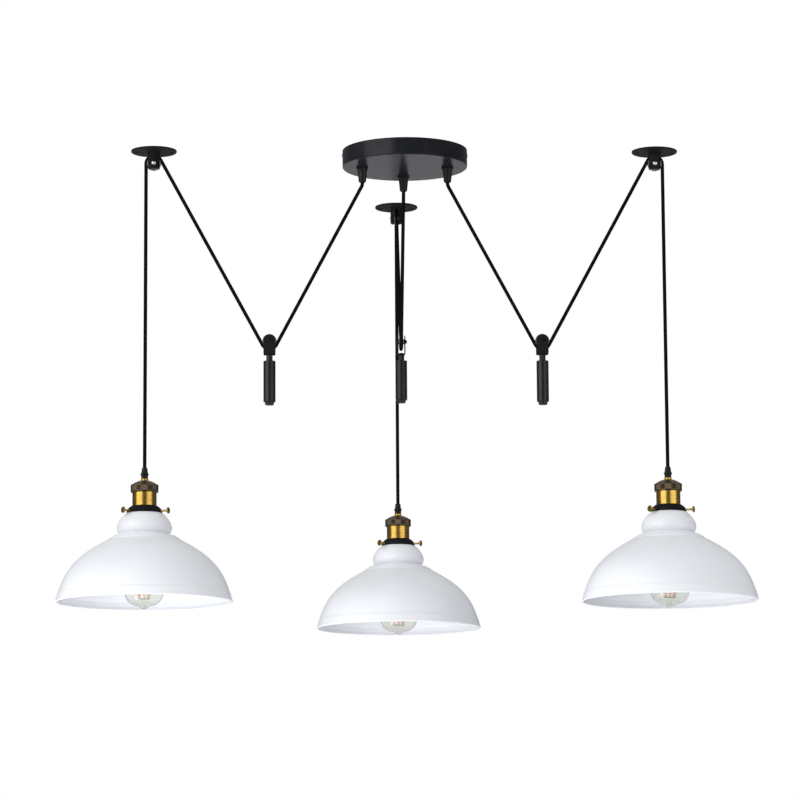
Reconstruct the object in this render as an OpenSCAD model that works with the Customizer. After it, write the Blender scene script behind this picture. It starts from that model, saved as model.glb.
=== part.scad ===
// Rise and fall pendant: a round ceiling canopy, three ceiling pulleys and three
// bell lamps, each balanced by a weight that rides in the loop of its own cord.
// Origin: centre of the canopy in the ceiling plane. +Z is up, so all hangs below 0.

/* [Layout] */
// Direction of each cord from the canopy, left, middle, right, in degrees
azimuths = [180, 90, 0]; // [0:1:360]
// Distance of each ceiling pulley's axle from the canopy's centre
pulley_reach = [418, 450, 418]; // [380:1:700]
// Distance of each counterweight's axle from the canopy's centre
weight_reach = [226, 240, 226]; // [200:1:280]
// Depth of each counterweight's axle below the ceiling
weight_drop = [322, 282, 322]; // [250:1:420]
// Depth of each shade's rim below the ceiling
rim_drop = [755, 758, 755]; // [600:1:1100]

/* [Cord] */
// Diameter of the round textile cord
cord_d = 6; // [5:0.5:7]

/* [Canopy] */
// Outside diameter of the canopy
canopy_d = 208; // [196:1:260]
// Height of the canopy
canopy_h = 28.5; // [27:0.5:45]
// Sheet thickness of the canopy
canopy_t = 1.2; // [0.8:0.1:2]
// Radius of the canopy's lower edge
canopy_edge = 1.5; // [0.5:0.5:4]
// Distance of the three cord outlets from the centre
outlet_reach = 71; // [60:1:80]

/* [Canopy bracket] */
// Width of the fixing strap
strap_w = 22; // [16:1:30]
// Thickness of the fixing strap
strap_t = 2; // [1.5:0.5:3]
// Depth of the bent ends of the strap
strap_tab = 15; // [13:1:20]
// Distance between the two ceiling screws of the strap
strap_spacing = 70; // [50:1:90]
// Radius of the strap's ceiling screw holes
strap_hole_r = 2.5; // [2:0.25:3]
// Depth of the canopy's side screws below the ceiling
side_screw_z = 8; // [7:0.5:9]
// Thread radius of the side screws
side_screw_r = 2; // [1.5:0.25:2.5]
// Head radius of the side screws
side_head_r = 3.6; // [3:0.1:4.5]
// Length of the terminal block
block_l = 34; // [28:1:40]
// Width of the terminal block
block_w = 17; // [14:1:20]
// Height of the terminal block
block_h = 13; // [11:1:16]
// Radius of a wire way in the terminal block
wire_r = 1.9; // [1.5:0.1:2.2]

/* [Canopy cord grips] */
// Radius of the grip's flange
grip_flange_r = 10; // [8.5:0.5:12]
// Height of the grip's flange
grip_flange_h = 3.3; // [2:0.1:5]
// Radius of the grip under its flange
grip_top_r = 8.3; // [7.5:0.1:8.4]
// Radius of the grip at its mouth
grip_mouth_r = 6.2; // [5.3:0.1:7]
// Length of the tapered part of the grip
grip_len = 22; // [18:0.1:30]
// Radius of the grip's threaded stem
grip_stem_r = 4.95; // [4.9:0.05:5.5]
// Radius over the corners of the lock nut
nut_r = 8.5; // [7.5:0.1:10]
// Height of the lock nut
nut_h = 4; // [3:0.5:5]

/* [Ceiling pulleys] */
// Radius of the round plate on the ceiling
plate_r = 38; // [36:1:50]
// Thickness of the plate
plate_t = 3; // [2.5:0.5:4]
// Distance between the plate's two screws
plate_spacing = 58; // [50:1:62]
// Radius of the plate's screw holes
plate_hole_r = 2.25; // [2:0.05:2.5]
// Radius of the countersink round a screw hole
plate_sink_r = 4; // [3.5:0.1:4.5]
// Radius of the pulley housing
housing_r = 10.5; // [9.5:0.1:12]
// Length of the pulley housing under the plate
housing_h = 28; // [24:0.5:32]
// Depth of the pulley's axle below the plate
axle_depth = 19; // [18.8:0.1:22]
// Width of the slot that the wheel turns in
slot_w = 8; // [7.8:0.1:9]
// Radius of the pulley's axle pin
pin_r = 2; // [1.5:0.1:3]
// Radius of the pin's heads
pin_head_r = 3.6; // [3.3:0.1:4.2]
// Height of the pin's heads
pin_head_h = 1.6; // [1:0.1:3]

/* [Wheels] */
// Radius at the bottom of the wheel's groove
groove_bottom_r = 9.7; // [9.4:0.1:9.9]
// Height of the wheel's flanges above the bottom of the groove
flange_h = 1.9; // [1.5:0.1:2.2]
// Width of the wheel's rim
rim_w = 7; // [6.9:0.1:7.2]
// Thickness of the web between the hub and the rim
web_w = 3; // [2:0.5:4]
// Radius of the hub
hub_r = 4.6; // [4.2:0.1:5.2]

/* [Counterweights] */
// Width of the yoke's strap
yoke_w = 20; // [18:0.5:22]
// Distance over the yoke's two cheeks
yoke_out = 14.5; // [13.5:0.5:18]
// Sheet thickness of the yoke
yoke_t = 1.5; // [1:0.1:2]
// Height of the cheeks above the axle
yoke_top = 10.8; // [10.5:0.1:14]
// Depth of the yoke's underside below the axle
yoke_deep = 23.4; // [23:0.1:27]
// Radius of the yoke's bends
yoke_bend = 3.5; // [3:0.1:4]
// Radius of the yoke's axle
axle_r = 2.5; // [2:0.1:3]
// Radius of the axle's heads
axle_head_r = 3.6; // [3.2:0.1:5]
// Height of the axle's heads
axle_head_h = 3.2; // [2:0.1:4]
// Radius of the swivel neck in the yoke's underside
neck_r = 3; // [2.5:0.1:3.4]
// Radius of the swivel's head inside the yoke
swivel_r = 4.2; // [3.8:0.1:4.3]
// Height of the swivel's head
swivel_h = 2.5; // [2:0.1:2.8]
// Radius of the stem between yoke and weight
stem_r = 5.25; // [4.5:0.05:7]
// Length of the stem
stem_h = 9.8; // [6:0.1:20]
// Radius of the weight
weight_r = 10; // [8:0.5:16]
// Length of the weight
weight_h = 73.6; // [50:0.1:120]
// Height of the round foot under the weight
foot_h = 5; // [4:0.5:8]
// Radius of the foot
foot_r = 7.4; // [5:0.1:7.5]

/* [Shade] */
// Radius of the shade's rim
shade_r = 145; // [135:1:160]
// Height of the shade's visible part
shade_h = 147; // [140:1:165]
// Sheet thickness of the shade
shade_t = 1; // [0.8:0.1:1.5]
// Radius of the rolled edge
rim_bead = 1.6; // [1.3:0.1:3]
// Height of the pressed line above the rim
line_z = 12.8; // [8:0.1:20]
// Radius where the bell ends, under the steps
bell_r = 57.5; // [54:0.5:62]
// Height where the bell ends
bell_z = 103.8; // [98:0.1:106]
// Radius of the waist under the crown
waist_r = 41.5; // [40:0.5:43]
// Height of the waist
waist_z = 113; // [111:0.5:115]
// Radius of the two rolled steps between bell and waist
step_bead = 1.5; // [1.1:0.1:1.8]
// Radius of the crown's flat top
crown_r = 30.4; // [29:0.1:32]
// Radius of the neck that the holder clamps
shade_neck_r = 25.5; // [24:0.1:25.7]
// Height of the neck
shade_neck_h = 5; // [4.5:0.1:5.2]

/* [Shade holder] */
// Radius of the holder's skirt
holder_r = 29.5; // [29:0.1:32]
// Height of the holder
holder_h = 11.7; // [11:0.1:14]
// Sheet thickness of the holder
holder_t = 1; // [0.8:0.1:1.2]
// Shank radius of the thumb screws
thumb_r = 1.6; // [1.2:0.1:2]
// Head radius of the thumb screws
thumb_head_r = 5.3; // [4:0.1:6]
// Distance of the thumb screws' outer faces from the lamp's axis
thumb_reach = 43.8; // [40:0.1:50]
// Direction of the first thumb screw, in degrees
thumb_first = -22; // [-60:1:60]

/* [Socket] */
// Outside radius of the socket's shell
shell_r = 19.85; // [19.5:0.05:20.5]
// Wall of the socket's shell
shell_t = 1.2; // [0.8:0.1:1.5]
// Length of shell that shows between holder and collar
shell_show = 22; // [15:0.5:35]
// Length of shell below the holder's top
shell_below = 31; // [28:0.5:34]
// Radius of the knurled collar
collar_r = 22.9; // [22.7:0.1:25]
// Height of the knurled collar
collar_h = 13; // [10:0.5:18]
// Number of the collar's grooves
collar_grooves = 48; // [24:1:60]
// Rise of the socket's domed cap
dome_h = 7; // [5:0.5:9]
// Radius of the cap's nipple
nipple_r = 6; // [5.5:0.1:7]
// Height of the cap's nipple
nipple_h = 3; // [2:0.1:6]
// Radius of the ceramic insert
insert_r = 17.6; // [17:0.1:17.8]
// Length of the lamp's cord grip
lamp_grip_h = 18.4; // [15:0.1:25]

/* [Bulb] */
// Largest radius of the bulb
bulb_r = 33.2; // [30:0.1:36]
// Depth of the bulb's tip below the rim
bulb_tip = 10.5; // [8:0.5:16]
// Wall of the glass
glass_t = 1.2; // [0.8:0.1:1.5]
// Crest radius of the screw base
base_r = 13.2; // [13:0.05:13.3]
// Pitch of the screw base's thread
thread_pitch = 3.6; // [3.5:0.1:4]
// Number of filament strands
strands = 8; // [4:1:12]
// Radius of the circle of strands
cage_r = 9.6; // [7:0.1:11]

/* [Hidden] */
LEFT = 0;
MIDDLE = 1;
RIGHT = 2;
LAMPS = [LEFT, MIDDLE, RIGHT];
$fn = 64;

// Clearances: running fit of a pin, loose fit of still pieces, gap of moving pieces
run_gap = 0.06;
fit_gap = 0.05;
move_gap = 0.3;
side_gap = 0.4;

// How far a cutter stands past what it cuts
over = 1;
hair = 0.01;

// Strap: radius of its bends and gap to the canopy
strap_bend = 3;
strap_gap = 0.8;
// Side screw: length behind the strap, height of its head and the head's bevel
screw_tail = 3;
side_head_h = 1.8;
side_head_edge = 1.2;
// Terminal block: notches between its ways
notch_w = 1.6;
notch_d = 2;
// Grips: bevel of the mouth, edge of the flange and stem above the lock nut
mouth_edge = 1.2;
flange_edge = 0.8;
stem_over = 3;
// Pulleys: bevels of plate and housing, spigot of the housing and its gap to the ceiling
plate_edge = 0.8;
housing_edge = 1;
spigot_r = 4;
spigot_gap = 0.4;
// Wheels: thickness of the rim under the groove
rim_depth = 2.2;
// Yoke: corner radius of its cheeks; axle: six-sided socket in its head
yoke_corner = 3;
key_r = 1.4;
key_d = 1.5;
// Weight: bevel at its top, rounding over its foot and rounding of the foot
bar_edge = 0.8;
bar_round = 2;
foot_round = 3;
// Grip of the lamp: distance beyond the nipple's radius and height above the nipple
lamp_grip_line = [[-0.6, 0.05], [-0.1, 5.5], [0.9, 6.8], [0.9, 8.2], [-0.7, 9.2]];
lamp_grip_end = [[-1.5, -0.6], [-1.9, 0]];
// Cap: threaded stub of the nipple inside it
stub_h = 2;
stub_wall = 2;
// Collar: bevel, height of its plain edges and depth of its grooves
collar_edge = 1;
collar_plain = 2.2;
groove_d = 0.7;
// Shell: bead as distance beyond the shell and depth under the holder's sheet
shell_bead = [[0, 3.4], [1.4, 2.6], [1.4, 0.9], [0, 0.5]];
// Insert: height of its flange, and distance and depth of the two wire ways
insert_flange = 3;
insert_cone = 2;
wire_reach = 10.5;
wire_depth = 6;
// Holder: height of its upright edge, and the bulge of its curved part
holder_edge = 2.6;
holder_bulge = [2.1, 3.4];
screw_z = 2.4;
// Thumb screw: share of the way from shank to head radius and distance from its outer face
thumb_line = [[0.25, -2.6], [0.92, -2.2], [1, -1.8], [1, -0.5], [0.85, 0]];
thumb_shank = 5.4;
// Filament: cage above the bulb's tip and its height, strand, spider wire, glass rod and stem
cage_lift = 16;
cage_h = 77;
strand_r = 0.5;
spider_r = 0.4;
rod_r = 1.2;
stem_in_r = 2.6;
flare_h = 12;
// Shade: outer edge of the waist, share of the way of each step, and the pressed line
waist_edge = [2, -1.6];
step_at = [0.05, 0.45];
line_r = 0.9;
line_sink = 0.3;

// Cord: its radius, how it lies on a wheel, and the radius of all its bends
cord_r = cord_d / 2;
groove_r = cord_r + move_gap;
wrap_r = groove_bottom_r + groove_r;
flange_r = groove_bottom_r + flange_h;
wheel_z = -plate_t - axle_depth;

// Canopy inside, and where its outlets end
inside_r = canopy_d / 2 - canopy_t;
floor_z = -canopy_h + canopy_t;
stem_top = floor_z + nut_h + stem_over;
flange_low = -canopy_h - grip_flange_h;
mouth_z = flange_low - grip_len;
strap_end = inside_r - strap_gap;

// Lamp: heights above the rim of its shade. The cap sits seat_d deep in the collar.
seat_d = 2;
holder_z = shade_h + move_gap;
holder_top = holder_z + holder_h;
collar_z = holder_top + shell_show;
collar_top = collar_z + collar_h;
seat_z = collar_top - seat_d;
dome_top = collar_top + dome_h;
nipple_top = dome_top + nipple_h;
grip_top = nipple_top + lamp_grip_h;
stem_low = dome_top - 2 * stub_h;
shell_low = holder_top - shell_below;
cap_r = collar_r - seat_d;
lamp_bore_r = cord_r + move_gap;
sleeve_r = base_r + move_gap;
sleeve_t = 1.2;
flare_r = base_r - 3.2;
sleeve_low = shell_low + 1;
contact_z = shell_low + 28;
insert_top = seat_z - 8;
cord_end = insert_top + 2;

// Yoke: clear width inside the cheeks, and the heights of the swivel
yoke_in = yoke_out - 2 * yoke_t;
yoke_floor = -yoke_deep + yoke_t;
stem_top_z = -yoke_deep - move_gap;
bar_top_z = stem_top_z - stem_h;
bar_low_z = bar_top_z - weight_h;

// The bell rises about 156 mm per unit at its foot, which places the pressed line
line_t = line_z / 156;
// Outlines of the shade: the bell and the crown are cubic curves of four points each
bell = [[shade_r, 0], [0.91 * shade_r, 52], [2 * bell_r, 74], [bell_r, bell_z]];
crown = [[waist_r, waist_z], [waist_r + 6, waist_z + 5],
         [waist_r + 5.5, waist_z + 20], [crown_r, shade_h - 1.2]];

function cubic(c, t) = c[0] * pow(1 - t, 3) + c[1] * 3 * t * pow(1 - t, 2)
    + c[2] * 3 * t * t * (1 - t) + c[3] * pow(t, 3);
function slope(c, t) = (c[1] - c[0]) * pow(1 - t, 2) + (c[2] - c[1]) * 2 * t * (1 - t)
    + (c[3] - c[2]) * t * t;
function unit(v) = v / norm(v);
// Points of a curve, moved inwards by d
function line_of(c, d, n, from = 0) = [for (i = [0 : n])
    let (t = from + (1 - from) * i / n, s = unit(slope(c, t))) cubic(c, t) + d * [-s.y, s.x]];
function quad(a, b, c, n) = [for (i = [0 : n])
    let (t = i / n) a * pow(1 - t, 2) + b * 2 * t * (1 - t) + c * t * t];
function arc(centre, r, a0, a1, n) = [for (i = [0 : n])
    let (a = a0 + (a1 - a0) * i / n) centre + r * [cos(a), sin(a)]];
// Quarter of a low dome, r wide and h high on the height z
function dome(r, h, z, a0, a1) = [for (i = [0 : 3])
    let (a = a0 + (a1 - a0) * i / 3) [r * cos(a), z + h * sin(a)]];
function reversed(list) = [for (i = [len(list) - 1 : -1 : 0]) list[i]];

// The cord's route in its own upright plane, x outwards from the canopy and y up.
// Both legs of the loop touch the weight's wheel, and the outer one the ceiling wheel.
arc_step = 10;
sides = 12;
bend_at = [outlet_reach + wrap_r, mouth_z - 1];
function weight_at(k) = [weight_reach[k], -weight_drop[k]];
function wheel_at(k) = [pulley_reach[k], wheel_z];
function tilt_in(k) = let (v = weight_at(k) - bend_at) atan2(v.x, -v.y);
function tilt_out(k) = let (v = wheel_at(k) - weight_at(k))
    atan2(v.x, v.y) - asin(2 * wrap_r / norm(v));
// One ring centre of the cord on a bend, with the direction of its first corner
function on_bend(c, a, turn) = [c.x + wrap_r * cos(a), c.y + wrap_r * sin(a), a + turn];
function bend(c, a0, a1, turn) = let (n = ceil(abs(a1 - a0) / arc_step))
    [for (i = [0 : n]) on_bend(c, a0 + (a1 - a0) * i / n, turn)];
function route(k) = concat(
    [[outlet_reach, stem_top + 4, 180]],
    bend(bend_at, 180, 180 + tilt_in(k), 0),
    bend(weight_at(k), 180 + tilt_in(k), 360 - tilt_out(k), 0),
    bend(wheel_at(k), 180 - tilt_out(k), 0, -180),
    [[pulley_reach[k] + wrap_r, -rim_drop[k] + cord_end, -180]]);

// Places: along a cord's direction at a reach, and under a pulley's outer edge
module along(k, reach, z) rotate([0, 0, azimuths[k]]) translate([reach, 0, z]) children();
module at_outlet(k) along(k, outlet_reach, 0) children();
module at_pulley(k) along(k, pulley_reach[k], wheel_z) children();
module at_plate(k) rotate([0, 0, azimuths[k]]) translate([pulley_reach[k], 0, 0])
    rotate([0, 0, -azimuths[k]]) children();
module at_weight(k) along(k, weight_reach[k], -weight_drop[k]) children();
module at_lamp(k) rotate([0, 0, azimuths[k]]) translate([pulley_reach[k] + wrap_r, 0, -rim_drop[k]])
    rotate([0, 0, -azimuths[k]]) children();

module turned(points) rotate_extrude() polygon(points);
module across() rotate([90, 0, 0]) children();
module rod(r, l) cylinder(r = r, h = l, center = true);

// ---- Canopy ----

module canopy_cover() color("#202124") difference() {
    turned(concat(
        [[0, -canopy_h]],
        arc([canopy_d / 2 - canopy_edge, -canopy_h + canopy_edge], canopy_edge, -90, 0, 4),
        [[canopy_d / 2, 0], [inside_r, 0], [inside_r, floor_z], [0, floor_z]]));
    for (k = LAMPS) at_outlet(k) translate([0, 0, -canopy_h])
        rod(grip_stem_r + fit_gap, 4 * canopy_t);
    translate([0, 0, -side_screw_z]) rotate([0, 90, 0])
        rod(side_screw_r + fit_gap, canopy_d + 2 * over);
}

module canopy_bracket() color("#b9bcc0") difference() {
    across() linear_extrude(strap_w, center = true) polygon(concat(
        arc([strap_end - strap_bend, -strap_bend], strap_bend, 90, 0, 4),
        [[strap_end, -strap_tab], [strap_end - strap_t, -strap_tab]],
        arc([strap_end - strap_bend, -strap_bend], strap_bend - strap_t, 0, 90, 4),
        arc([-strap_end + strap_bend, -strap_bend], strap_bend - strap_t, 90, 180, 4),
        [[-strap_end + strap_t, -strap_tab], [-strap_end, -strap_tab]],
        arc([-strap_end + strap_bend, -strap_bend], strap_bend, 180, 90, 4)));
    for (s = [-1, 1]) translate([s * strap_spacing / 2, 0, 0]) rod(strap_hole_r, 3 * strap_t);
    translate([0, 0, -side_screw_z]) rotate([0, 90, 0])
        rod(side_screw_r + fit_gap, canopy_d);
}

module cover_screw() rotate([0, 90, 0]) turned([
    [0, strap_end - strap_t - screw_tail], [side_screw_r, strap_end - strap_t - screw_tail],
    [side_screw_r, canopy_d / 2 + fit_gap], [side_head_r, canopy_d / 2 + fit_gap],
    [side_head_r, canopy_d / 2 + side_head_h - side_head_edge],
    [side_head_r - side_head_edge, canopy_d / 2 + side_head_h],
    [0, canopy_d / 2 + side_head_h]]);

module cover_screws() color("#26272a") for (a = [0, 180])
    rotate([0, 0, a]) translate([0, 0, -side_screw_z]) cover_screw();

module terminal_block() color("#e9e7e0") translate([0, 0, -strap_t - fit_gap - block_h / 2])
    difference() {
        cube([block_l, block_w, block_h], center = true);
        for (i = [-1 : 1]) translate([i * block_l / 3, 0, 0]) {
            across() rod(wire_r, block_w + 2 * over);
            for (s = [-1, 1]) translate([0, s * block_w / 4, -block_h / 4])
                rod(wire_r, block_h / 2 + over);
        }
        for (s = [-1, 1]) translate([s * block_l / 6, 0, 0]) for (t = [-1, 1])
            translate([0, t * block_w / 2, 0])
                cube([notch_w, 2 * notch_d, block_h + 2 * over], center = true);
    }

module canopy_grip() turned([
    [cord_r + fit_gap, stem_top], [cord_r + fit_gap, mouth_z],
    [grip_mouth_r - mouth_edge, mouth_z], [grip_mouth_r, mouth_z + 1.5 * mouth_edge],
    [grip_top_r, flange_low - 0.5 * flange_edge], [grip_flange_r - flange_edge, flange_low],
    [grip_flange_r, flange_low + flange_edge], [grip_flange_r, -canopy_h - fit_gap],
    [grip_stem_r, -canopy_h - fit_gap], [grip_stem_r, stem_top]]);

module canopy_grips() color("#1b1b1d") for (k = LAMPS) at_outlet(k) canopy_grip();

module grip_nuts() color("#2a2a2c") for (k = LAMPS) at_outlet(k)
    translate([0, 0, floor_z + fit_gap]) difference() {
        cylinder(r = nut_r, h = nut_h, $fn = 6);
        rod(grip_stem_r + fit_gap, 4 * nut_h);
    }

// ---- Ceiling pulleys ----

module ceiling_plates() color("#222326") for (k = LAMPS) at_plate(k) difference() {
    turned([[0, 0], [plate_r, 0], [plate_r, -plate_t + plate_edge],
        [plate_r - plate_edge, -plate_t], [0, -plate_t]]);
    rod(spigot_r + fit_gap, 4 * plate_t);
    for (s = [-1, 1]) translate([s * plate_spacing / 2, 0, 0]) {
        rod(plate_hole_r, 4 * plate_t);
        translate([0, 0, -plate_t - hair])
            cylinder(r1 = plate_sink_r, r2 = plate_hole_r, h = plate_sink_r - plate_hole_r);
    }
}

module housing() difference() {
    turned([
        [0, -plate_t - housing_h], [housing_r - housing_edge, -plate_t - housing_h],
        [housing_r, -plate_t - housing_h + housing_edge], [housing_r, -plate_t - fit_gap],
        [spigot_r, -plate_t - fit_gap], [spigot_r, -spigot_gap], [0, -spigot_gap]]);
    // Slot with a round top that the wheel and the cord run in
    rotate([90, 0, 90]) linear_extrude(3 * housing_r, center = true) polygon(concat(
        [[-slot_w / 2, -plate_t - housing_h - over], [slot_w / 2, -plate_t - housing_h - over]],
        arc([0, wheel_z + wrap_r - side_gap], slot_w / 2, 0, 180, 12)));
    translate([0, 0, wheel_z]) across() rod(pin_r + fit_gap, 3 * housing_r);
}

module pulley_housings() color("#1e1f22") for (k = LAMPS)
    along(k, pulley_reach[k], 0) housing();

// A pin with a domed head at each end, r thick and l long between its heads
module headed_pin(r, head_r, head_h, l) turned(concat(
    dome(head_r, head_h, -l / 2, -90, 0), [[r, -l / 2], [r, l / 2]],
    dome(head_r, head_h, l / 2, 0, 90)));

module pulley_pins() color("#c9ccd1") for (k = LAMPS) at_pulley(k)
    across() headed_pin(pin_r, pin_head_r, pin_head_h, 2 * housing_r + 2 * fit_gap);

// A grooved wheel on the Y axis. Its hub is hub_w wide, and the groove holds the cord.
module wheel(bore_r, hub_w) {
    spread = acos((wrap_r - flange_r) / groove_r);
    across() turned(concat(
        [[bore_r, -hub_w / 2], [hub_r, -hub_w / 2], [hub_r, -web_w / 2],
         [groove_bottom_r - rim_depth, -web_w / 2], [groove_bottom_r - rim_depth, -rim_w / 2],
         [flange_r, -rim_w / 2]],
        arc([wrap_r, 0], groove_r, 180 + spread, 180 - spread, 12),
        [[flange_r, rim_w / 2], [groove_bottom_r - rim_depth, rim_w / 2],
         [groove_bottom_r - rim_depth, web_w / 2], [hub_r, web_w / 2], [hub_r, hub_w / 2],
         [bore_r, hub_w / 2]]));
}

module ceiling_wheel() color("#9fa3a8") wheel(pin_r + run_gap, slot_w - 2 * side_gap);

// ---- Cord: one tube that follows its whole route ----

module flex(k) color("#151516") {
    rings = route(k);
    points = [for (q = rings) for (j = [0 : sides - 1])
        let (a = 360 * j / sides, w = cord_r * cos(a))
        [q.x + w * cos(q.z), cord_r * sin(a), q.y + w * sin(q.z)]];
    last = len(rings) - 1;
    skin = [for (i = [0 : last - 1]) for (j = [0 : sides - 1])
        let (a = i * sides + j, b = i * sides + (j + 1) % sides)
        each [[a, a + sides, b], [b, a + sides, b + sides]]];
    ends = [[for (j = [0 : sides - 1]) j], [for (j = [sides - 1 : -1 : 0]) last * sides + j]];
    along(k, 0, 0) polyhedron(points, concat(skin, ends));
}

// ---- Counterweights, about the axle of their wheel ----

module weight_yoke() color("#2b2b2e") difference() {
    corner_z = -yoke_deep + yoke_corner - move_gap;
    intersection() {
        // The bent strap, seen edge on
        rotate([90, 0, 90]) linear_extrude(yoke_w + 2 * over, center = true) polygon(concat(
            [[-yoke_out / 2, yoke_top + over]],
            arc([-yoke_out / 2 + yoke_bend, -yoke_deep + yoke_bend], yoke_bend, 180, 270, 5),
            arc([yoke_out / 2 - yoke_bend, -yoke_deep + yoke_bend], yoke_bend, 270, 360, 5),
            [[yoke_out / 2, yoke_top + over], [yoke_in / 2, yoke_top + over]],
            arc([yoke_out / 2 - yoke_bend, -yoke_deep + yoke_bend], yoke_bend - yoke_t, 360, 270, 5),
            arc([-yoke_out / 2 + yoke_bend, -yoke_deep + yoke_bend], yoke_bend - yoke_t, 270, 180, 5),
            [[-yoke_in / 2, yoke_top + over]]));
        // The cheeks' outline, seen from the front
        across() linear_extrude(yoke_out + 2 * over, center = true) polygon(concat(
            arc([0, yoke_top - yoke_w / 2], yoke_w / 2, 0, 180, 24),
            arc([-yoke_w / 2 + yoke_corner, corner_z], yoke_corner, 180, 270, 5),
            arc([yoke_w / 2 - yoke_corner, corner_z], yoke_corner, 270, 360, 5)));
    }
    across() rod(axle_r + fit_gap, 2 * yoke_out);
    translate([0, 0, -yoke_deep]) rod(neck_r + run_gap, 6 * yoke_t);
}

module weight_axle() color("#303134") difference() {
    across() headed_pin(axle_r, axle_head_r, axle_head_h, yoke_out + 2 * fit_gap);
    translate([0, -yoke_out / 2 - axle_head_h, 0]) across() cylinder(r = key_r, h = 2 * key_d,
        center = true, $fn = 6);
}

module weight_wheel() color("#8d9095") wheel(axle_r + run_gap, yoke_in - 2 * side_gap);

// Swivel head inside the yoke, neck, stem and bar in one turned piece
module weight_bar() color("#1d1e20") turned(concat(
    [[0, bar_low_z]],
    arc([foot_r - foot_round, bar_low_z + foot_round], foot_round, -90, 0, 4),
    arc([weight_r - bar_round, bar_low_z + foot_h + bar_round], bar_round, -90, 0, 4),
    [[weight_r, bar_top_z - bar_edge], [weight_r - bar_edge, bar_top_z], [stem_r, bar_top_z],
     [stem_r, stem_top_z], [neck_r, stem_top_z], [neck_r, yoke_floor + move_gap]],
    dome(swivel_r, swivel_h, yoke_floor + move_gap, 0, 90)));

// ---- Lamps, above the plane of their rim ----

module lamp_grip() color("#19191b") turned([
    [lamp_bore_r, stem_low], [nipple_r - stub_wall, stem_low],
    [nipple_r - stub_wall, nipple_top + fit_gap],
    for (p = lamp_grip_line) [nipple_r + p.x, nipple_top + p.y],
    for (p = lamp_grip_end) [nipple_r + p.x, grip_top + p.y],
    [lamp_bore_r, grip_top]]);

// A shallow dome with a threaded nipple, clamped between shell and collar
module socket_cap() color("#8a6a2c") {
    rise = dome_top - collar_top;
    low = nipple_r + side_gap;
    h = (cap_r * cap_r - low * low - rise * rise) / (2 * rise);
    big = sqrt(cap_r * cap_r + h * h);
    a_low = asin(h / big);
    a_top = acos(low / big);
    wall = shell_t;
    turned(concat(
        [[cap_r - wall, seat_z + fit_gap], [cap_r, seat_z + fit_gap]],
        arc([0, collar_top - h], big, a_low, a_top, 8),
        [[nipple_r, dome_top], [nipple_r, nipple_top],
         [nipple_r - stub_wall + fit_gap, nipple_top],
         [nipple_r - stub_wall + fit_gap, dome_top - wall - stub_h],
         [nipple_r, dome_top - wall - stub_h]],
        reversed(arc([0, collar_top - h], big - wall, a_low, a_top - 5, 8))));
}

// Threaded ring with a grooved band between two plain edges
module socket_collar() color("#4a3a26") difference() {
    union() {
        turned([[0, collar_z], [collar_r - collar_edge, collar_z],
            [collar_r, collar_z + collar_edge], [collar_r, collar_z + collar_plain],
            [0, collar_z + collar_plain]]);
        translate([0, 0, collar_z + over]) linear_extrude(collar_h - 2 * over) polygon([
            for (i = [0 : 2 * collar_grooves - 1])
            let (r = collar_r - (i % 2 == 0 ? groove_d : 0.1), a = 180 * i / collar_grooves)
            r * [cos(a), sin(a)]]);
        turned([[0, collar_top - collar_plain], [collar_r, collar_top - collar_plain],
            [collar_r, collar_top - collar_edge], [collar_r - collar_edge, collar_top],
            [0, collar_top]]);
    }
    translate([0, 0, collar_z]) rod(shell_r + fit_gap, 4 * collar_h);
    translate([0, 0, seat_z]) cylinder(r = cap_r + fit_gap, h = collar_h);
}

// Tube with a bead that carries the shade holder
module socket_shell() color("#c39a48") turned([
    [shell_r - shell_t, shell_low], [shell_r, shell_low],
    for (p = shell_bead) [shell_r + p.x, holder_top - holder_t - p.y],
    [shell_r, seat_z], [shell_r - shell_t, seat_z]]);

// Ceramic body with a flange at its top and the threaded sleeve that takes the bulb
module lamp_insert() color("#e6e2d8") difference() {
    turned([
        [0, insert_top], [shell_r - shell_t - fit_gap, insert_top],
        [shell_r - shell_t - fit_gap, insert_top - insert_flange],
        [insert_r, insert_top - insert_flange], [insert_r, contact_z - 2 * insert_cone],
        [sleeve_r + sleeve_t, contact_z - 3 * insert_cone],
        [sleeve_r + sleeve_t, sleeve_low], [sleeve_r, sleeve_low],
        [sleeve_r, contact_z], [0, contact_z]]);
    for (s = [-1, 1]) translate([s * wire_reach, 0, insert_top]) rod(wire_r, 2 * wire_depth);
}

module shade_holder() color("#17181a") difference() {
    bulge = [holder_r, holder_top] - holder_bulge;
    turned(concat(
        [[holder_r - holder_t, holder_z], [holder_r, holder_z]],
        quad([holder_r, holder_z + holder_edge], bulge, [shell_r + over, holder_top], 8),
        [[shell_r + fit_gap, holder_top], [shell_r + fit_gap, holder_top - holder_t]],
        reversed(quad([holder_r - holder_t, holder_z + holder_edge],
            bulge - [holder_t, 0.6 * holder_t], [shell_r + over, holder_top - holder_t], 8))));
    for (i = [0 : 2]) rotate([0, 0, thumb_first + 120 * i])
        translate([holder_r, 0, holder_z + screw_z]) rotate([0, 90, 0])
            rod(thumb_r + fit_gap, 8 * holder_t);
}

module thumb_screw() rotate([0, 90, 0]) turned([
    [0, shade_neck_r + fit_gap], [thumb_r, shade_neck_r + fit_gap],
    [thumb_r, thumb_reach - thumb_shank],
    for (p = thumb_line) [thumb_r + p.x * (thumb_head_r - thumb_r), thumb_reach + p.y],
    [0, thumb_reach]]);

module holder_screws() color("#b98f3e") for (i = [0 : 2])
    rotate([0, 0, thumb_first + 120 * i]) translate([0, 0, holder_z + screw_z]) thumb_screw();

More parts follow.
